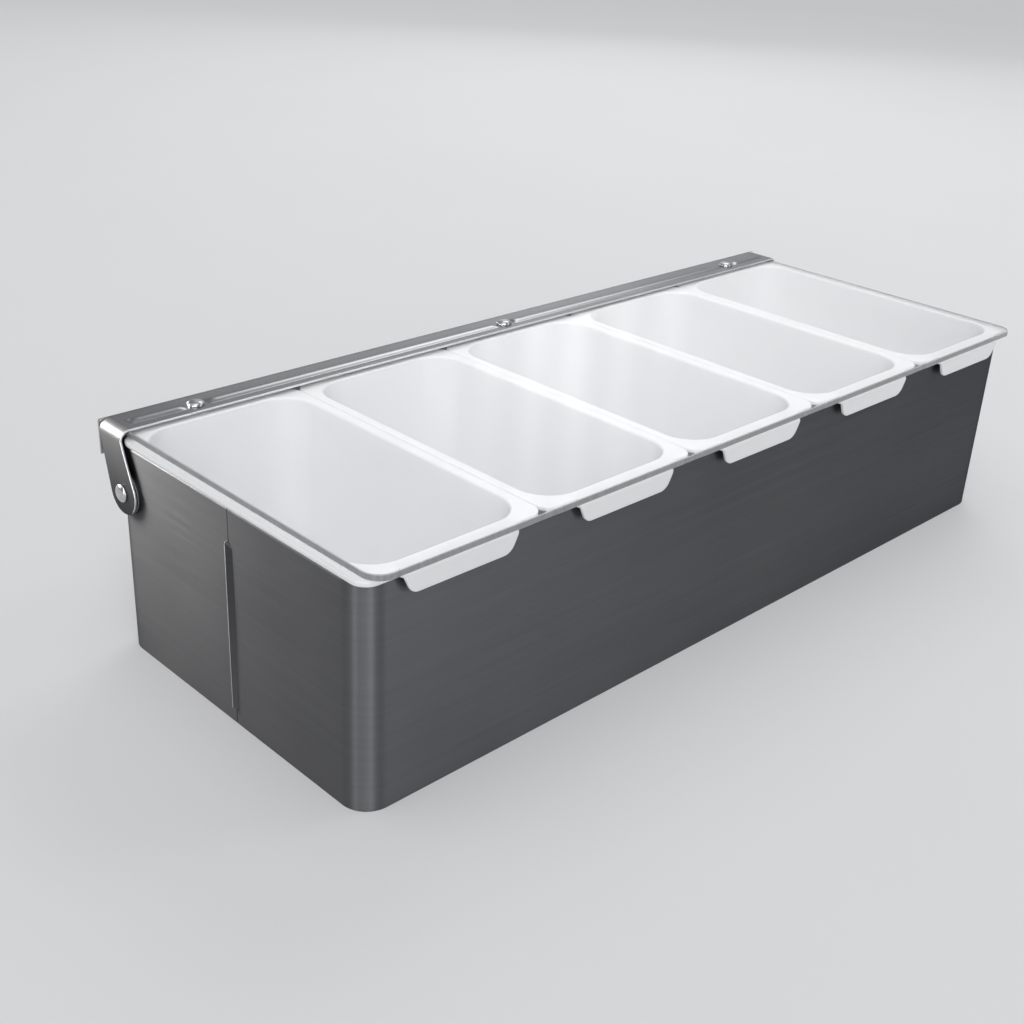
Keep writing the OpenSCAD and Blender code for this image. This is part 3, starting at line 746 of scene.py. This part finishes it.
# An ear: the end of the strip turned down through a quarter circle, in rows from its front
# edge to its back edge, with round edges that reach out square to the outline. At height h
# over the outer face and angle a round the bend, x = flat + (r + h) sin a and the height gains
# (r + h) cos a.
def earSkin(side):
    e, r, bendSteps = strip["edgeR"], strip["earR"], 10
    front, frontWays = earEdge(strip["front"], 1, bendSteps)
    back, backWays = earEdge(strip["earBack"], -1, bendSteps)
    turn = np.minimum(np.arange(len(front)) / bendSteps, 1) * math.pi / 2
    y = stripAcross()
    share = ((y - y[0]) / (y[-1] - y[0]))[:, None]
    out, height = plateEdge(e, strip["thick"])
    frontCore, backCore = front - e * frontWays, back - e * backWays
    core = frontCore[:, None] * (1 - share) + backCore[:, None] * share
    backEdge = backCore[:, None] + out[:, None] * backWays[:, None]
    frontEdge = frontCore[:, None] + out[::-1, None] * frontWays[:, None]
    loop = np.concatenate([core, backEdge, core[:, ::-1], frontEdge], 1)
    h = np.concatenate([np.zeros(len(y)), height, np.full(len(y), -strip["thick"]),
                        height[::-1]])
    rows = np.zeros(loop.shape[:2] + (3,))
    rows[..., 0] = side * (strip["flatX"] + (r + h) * np.sin(turn)[:, None])
    rows[..., 1] = loop[..., 0]
    rows[..., 2] = loop[..., 1] + (r + h) * np.cos(turn)[:, None]
    return skin(rows, first=False)


# The grain runs along the strip and down the ears; across it is y, and down the flange the
# drop is added to y.
def stripGrain(at):
    x, y, z = at.T
    onEar = np.abs(x) > strip["flatX"]
    down = np.where(onEar, strip["top"] - z, 0)
    flange = np.where(~onEar & (y > strip["back"] - strip["flangeR"]), strip["top"] - z, 0)
    return np.stack([x + np.sign(x) * down, y + flange], -1)


hingeStrip = makePiece("hingeStrip", stripSkins() + [earSkin(-1), earSkin(1)], stripSteel,
                       "lid", ["hinge_strip"], grain=stripGrain)
# The ears take the rougher steel with painted shade, darker lower down
moreFinishes(hingeStrip, (shadedEarSteel, lambda way, at: (np.abs(at[0]) > strip["flatX"])
                          & (at[1] < strip["earBack"])),
             # The faces turned well forward take the near-white steel, a painted highlight
             (edgeHighlightSteel, lambda way, at: way[1] < -strip["highlightTurn"]))
print("hinge strip made")


lid = {"half": 184.4, "front": -75.55, "back": 74.4, "low": 85.2, "top": 87.47,
       "cornerR": 7.0, "edgeR": 0.45, "highlightArc": 0.97, "sawn": 0.6}


# The clear sheet: its outline carried up over a round lower and upper edge
def lidSkin():
    e = lid["edgeR"]
    outline, ways = roundRect((-lid["half"], lid["front"]), (lid["half"], lid["back"]),
                              (lid["cornerR"], 1.0, 1.0, lid["cornerR"]))
    section = np.vstack([[(-e - nearEdge, lid["low"])],
                         arcPoints((-e, lid["low"] + e), e, -90, 0, 5),
                         arcPoints((-e, lid["top"] - e), e, 0, 90, 5),
                         [(-e - nearEdge, lid["top"])]])
    return skin(rings(outline, ways, section))


clearLid = makePiece("clearLid", [lidSkin()], clearPlastic, "lid", ["lid_panel"],
                     sharp=60)
# The round edges take the lighter plastic, a painted highlight; the upright edge takes the sawn
# plastic
moreFinishes(clearLid, (cornerHighlightPlastic, lambda way, at: np.abs(way[2]) < lid["highlightArc"]),
             (sawnPlastic, lambda way, at: np.abs(way[2]) < lid["sawn"]))
print("lid made")


pivotRivet = {"x": 188.58, "head": 3.4, "height": 1.6, "skirt": 0.3, "shank": 2.0,
              "inner": 183.7, "tail": 3.0, "tailThick": 0.7, "bevel": 0.1}
lidRivet = {"z": 88.5, "head": 3.3, "height": 1.7, "skirt": 0.3, "shank": 1.6,
            "tail": 2.6, "tailThick": 1.0, "low": 85.17, "bevel": 0.1}
pad = {"x": 186.02, "radius": 8.1, "thick": 1.06, "edgeR": 0.25, "hole": 2.05}


# A rivet head's half profile: a bevelled foot, a short upright skirt, then a dome whose height
# over the skirt is rise * sqrt(1 - (radius / head radius)^2)
def headProfile(look):
    a = np.linspace(0, math.pi / 2, 13)
    rise, bevel = look["height"] - look["skirt"], look["bevel"]
    dome = pairs(look["head"] * np.cos(a), look["skirt"] + rise * np.sin(a))
    return np.vstack([[(look["shank"], 0), (look["head"] - bevel, 0), (look["head"], bevel)],
                      dome])


# A washer: a flat section with round outer edges, turned about the Z axis
def washerSkin(look):
    e, t, r, hole = look["edgeR"], look["thick"], look["radius"], look["hole"]
    section = np.vstack([pairs(held(hole, r - e, 3)[:-1], 0),
                         arcPoints((r - e, e), e, -90, 0, 4),
                         arcPoints((r - e, t - e), e, 0, 90, 4),
                         pairs(held(r - e, hole, 3)[1:], t), [(hole, 0)]])
    points, faces = turned(section, 72)
    return points, faces[:-2]


for side, word in ((-1, "left"), (1, "right")):
    pivot = np.array([0, strip["pivotY"], strip["pivotZ"]])
    outward = np.array([side, 0, 0])
    depth, thick = pivotRivet["x"] - pivotRivet["inner"], pivotRivet["tailThick"]
    tail, bevel = pivotRivet["tail"], pivotRivet["bevel"]
    profile = np.vstack([[(0.0, -depth), (tail - bevel, -depth), (tail, bevel - depth),
                          (tail, thick - depth), (pivotRivet["shank"], thick - depth)],
                         headProfile(pivotRivet)])
    makePiece("pivotRivet" + word.title(),
              [placed(turned(profile), pivot + outward * pivotRivet["x"], outward)],
              rivetSteel, "base", [word + "_pivot_rivet"])
    makePiece("pivotPad" + word.title(),
              [placed(washerSkin(pad), pivot + outward * pad["x"], outward)],
              padSteel, "base", [word + "_pivot_pad"])

for x, word in ((-strip["rivetX"], "left"), (0, "centre"), (strip["rivetX"], "right")):
    depth = lidRivet["z"] - lidRivet["low"]
    profile = np.vstack([[(0.0, -depth), (lidRivet["tail"], -depth),
                          (lidRivet["shank"], -depth + lidRivet["tailThick"])],
                         headProfile(lidRivet)])
    makePiece("lidRivet" + word.title(), [placed(turned(profile), (x, bead["y"], lidRivet["z"]))],
              rivetSteel, "lid", ["lid_rivet_" + word])

for name, material in (("bottom_pan", panSteel), ("left_rivet_burr", burrSteel),
                       ("right_rivet_burr", burrSteel)):
    frame["nodes"][name].data.materials.clear()
    frame["nodes"][name].data.materials.append(material)
print("rivets and pads made")


studio = {
    "floorSize": 30.0, "floorColour": (0.80, 0.80, 0.805), "floorCloud": 6.0,
    "floorTone": (0.99, 1.0), "floorRough": 0.8, "floorShine": 0.1,
    "sky": (0.965, 0.98, 1.0), "skyLight": 0.285,
}
white, middle = (1.0, 1.0, 1.0), (0, 0, 0.05)
suns = [
    {"name": "keyLight", "from": (-0.50, -0.50, 0.71), "strength": 1.05, "spread": 40.0,
     "colour": (0.99, 0.99, 1.0)},
    {"name": "backLight", "from": (-0.44, 0.37, 0.82), "strength": 0.15, "spread": 40.0,
     "colour": white},
    {"name": "fillLight", "from": (-0.68, -0.68, 0.26), "strength": 0.35, "spread": 40.0,
     "colour": white},
    {"name": "topLight", "from": (0.03, 0.0, 1.0), "strength": 0.36, "spread": 40.0,
     "colour": (0.98, 0.99, 1.0)},
]
panels = [
    {"name": "leftPanel", "place": (-0.372, 0.36, 0.19), "aim": (-0.186, 0.04, 0.06),
     "size": (0.28, 0.28), "power": 0.5, "colour": (1.0, 0.97, 0.92), "metalOnly": True},
    {"name": "leftSpot", "place": (-0.246, 0.15, 0.13), "aim": (-0.186, 0.055, 0.07),
     "size": (0.08, 0.08), "power": 0.62, "colour": (1.0, 0.97, 0.92), "metalOnly": True},
    {"name": "cornerPanelA", "place": (-1.620, -0.374, 0.353), "aim": middle,
     "size": (0.22, 0.8), "power": 10.8, "colour": (0.98, 0.98, 1.0), "metalOnly": True},
    {"name": "cornerPanelB", "place": (-0.806, -1.454, 0.353), "aim": middle,
     "size": (0.22, 0.8), "power": 10.8, "colour": (0.98, 0.98, 1.0), "metalOnly": True},
    {"name": "seamPanel", "place": (0.000, 1.663, 0.353), "aim": middle,
     "size": (0.5, 0.6), "power": 9.0, "colour": white, "metalOnly": True},
    {"name": "frontPanel", "place": (0.676, -1.519, 0.353), "aim": middle,
     "size": (0.4, 0.6), "power": 7.5, "colour": (0.94, 0.96, 1.0), "metalOnly": True},
    {"name": "overPanel", "place": (-0.450, -0.450, 1.576), "aim": middle,
     "size": (0.8, 0.7), "power": 4.5, "colour": white},
    {"name": "stripPanel", "place": (0.651, 1.128, 1.093), "aim": middle,
     "size": (0.8, 0.7), "power": 0.8, "colour": white},
    {"name": "edgePanel", "place": (1.041, -0.601, 1.202), "aim": middle,
     "size": (0.6, 0.6), "power": 3.5, "colour": white},
    {"name": "beadPanel", "place": (0.975, 0.586, 1.263), "aim": middle,
     "size": (1.1, 0.8), "power": 7.4, "colour": white},
    {"name": "hazePanel", "place": (1.179, 1.062, 0.609), "aim": middle,
     "size": (1.8, 0.9), "power": 2.7, "colour": white},
    {"name": "lidPanel", "place": (1.149, 1.110, 0.581), "aim": middle,
     "size": (0.38, 0.9), "power": 0.20, "colour": white, "stripes": 0.6,
     "count": 5.3},
]
camera = {"place": (-0.40070, -0.34477, 0.27957), "azimuth": 45.040, "elevation": 26.146,
          "roll": -2.824, "lens": 48.668, "sensor": 36, "near": 0.01, "far": 50}


# A wide sheet of plain pale paper, with a faint cloud in its tone
def makeFloor():
    half = studio["floorSize"] / 2
    mesh = bpy.data.meshes.new("studioFloor")
    mesh.from_pydata([(-half, -half, 0), (half, -half, 0), (half, half, 0), (-half, half, 0)],
                     [], [(0, 1, 2, 3)])
    material, tree = newMaterial("floorPaper")
    where = node(tree, "TexCoord").outputs["Object"]
    tone = spread(tree, noise(tree, where, studio["floorCloud"]), *studio["floorTone"])
    colour = node(tree, "VectorMath", {0: studio["floorColour"], "Scale": tone},
                  operation="SCALE")
    shader = node(tree, "BsdfPrincipled", {
        "Base Color": colour.outputs["Vector"], "Roughness": studio["floorRough"],
        "Specular IOR Level": studio["floorShine"]})
    finish(tree, shader.outputs["BSDF"])
    mesh.materials.append(material)
    floor = bpy.data.objects.new("studioFloor", mesh)
    bpy.context.scene.collection.objects.link(floor)


# Puts a lamp at a place, shining along a direction
def addLight(light, place, direction):
    made = bpy.data.objects.new(light.name, light)
    made.location = place
    made.rotation_euler = direction.to_track_quat("-Z", "Y").to_euler()
    bpy.context.scene.collection.objects.link(made)
    return made


# The low lamps that draw out the brushed steel light only the steel, so that they leave no
# pools on the floor and no glare in the clear sheet.
def gatherMetal():
    metal = (wallSteel, stripSteel, padSteel, panSteel, rivetSteel, burrSteel)
    group = bpy.data.collections.new("metalPieces")
    for piece in bpy.context.scene.objects:
        if piece.type == "MESH" and piece.data.materials and piece.data.materials[0] in metal:
            group.objects.link(piece)
    return group


# A panel's light fades from its middle to its edges as sin(pi u) * sin(pi v). Stripes across
# it, as between the slats of a blind, multiply that by 1 + stripes * sin(2 pi count u).
def makeLights():
    world = bpy.data.worlds.new("studioWorld")
    bpy.context.scene.world = world
    world.use_nodes = True
    tree = world.node_tree
    tree.nodes.clear()
    sky = node(tree, "Background", {"Color": (*studio["sky"], 1),
                                    "Strength": studio["skyLight"]})
    output = node(tree, "OutputWorld")
    tree.links.new(sky.outputs["Background"], output.inputs["Surface"])
    for lamp in suns:
        light = bpy.data.lights.new(lamp["name"], "SUN")
        light.energy, light.angle = lamp["strength"], math.radians(lamp["spread"])
        light.color = lamp["colour"]
        addLight(light, lamp["from"], -Vector(lamp["from"]))
    metalPieces = gatherMetal()
    for lamp in panels:
        light = bpy.data.lights.new(lamp["name"], "AREA")
        light.shape = "RECTANGLE"
        light.size, light.size_y = lamp["size"]
        light.energy, light.color = lamp["power"], lamp["colour"]
        light.use_nodes = True
        tree = light.node_tree
        across = node(tree, "NewGeometry").outputs["Parametric"]
        across = node(tree, "SeparateXYZ", {"Vector": across}).outputs
        fade = [node(tree, "Math", {0: side, 1: math.pi}, operation="MULTIPLY")
                for side in (across["X"], across["Y"])]
        fade = [node(tree, "Math", {0: part.outputs["Value"]}, operation="SINE") for part in fade]
        if "stripes" in lamp:
            wave = node(tree, "Math", {0: across["X"], 1: 2 * math.pi * lamp["count"]},
                        operation="MULTIPLY")
            wave = node(tree, "Math", {0: wave.outputs["Value"]}, operation="SINE")
            wave = node(tree, "Math", {0: wave.outputs["Value"], 1: lamp["stripes"], 2: 1.0},
                        operation="MULTIPLY_ADD")
            fade[0] = node(tree, "Math", {0: fade[0].outputs["Value"],
                                          1: wave.outputs["Value"]}, operation="MULTIPLY")
        fade = node(tree, "Math", {0: fade[0].outputs["Value"], 1: fade[1].outputs["Value"]},
                    operation="MULTIPLY")
        tree.links.new(fade.outputs["Value"], tree.nodes["Emission"].inputs["Strength"])
        made = addLight(light, lamp["place"], Vector(lamp["aim"]) - Vector(lamp["place"]))
        if lamp.get("metalOnly"):
            made.light_linking.receiver_collection = metalPieces


# The camera looks along the given azimuth and elevation, then rolls about its own axis
def makeCamera():
    data = bpy.data.cameras.new("studioCamera")
    data.sensor_width, data.lens = camera["sensor"], camera["lens"]
    data.clip_start, data.clip_end = camera["near"], camera["far"]
    made = bpy.data.objects.new("studioCamera", data)
    bpy.context.scene.collection.objects.link(made)
    a, e, roll = (math.radians(camera[k]) for k in ("azimuth", "elevation", "roll"))
    ahead = Vector((math.sin(a) * math.cos(e), math.cos(a) * math.cos(e), -math.sin(e)))
    right = ahead.cross(Vector((0, 0, 1))).normalized()
    down = ahead.cross(right)
    right, down = (math.cos(roll) * right + math.sin(roll) * down,
                   -math.sin(roll) * right + math.cos(roll) * down)
    turn = Matrix((right, -down, -ahead)).transposed()
    made.matrix_world = Matrix.Translation(camera["place"]) @ turn.to_4x4()
    bpy.context.scene.camera = made


makeFloor()
makeLights()
makeCamera()
bpy.context.scene.view_settings.view_transform = "Standard"
print("studio made")
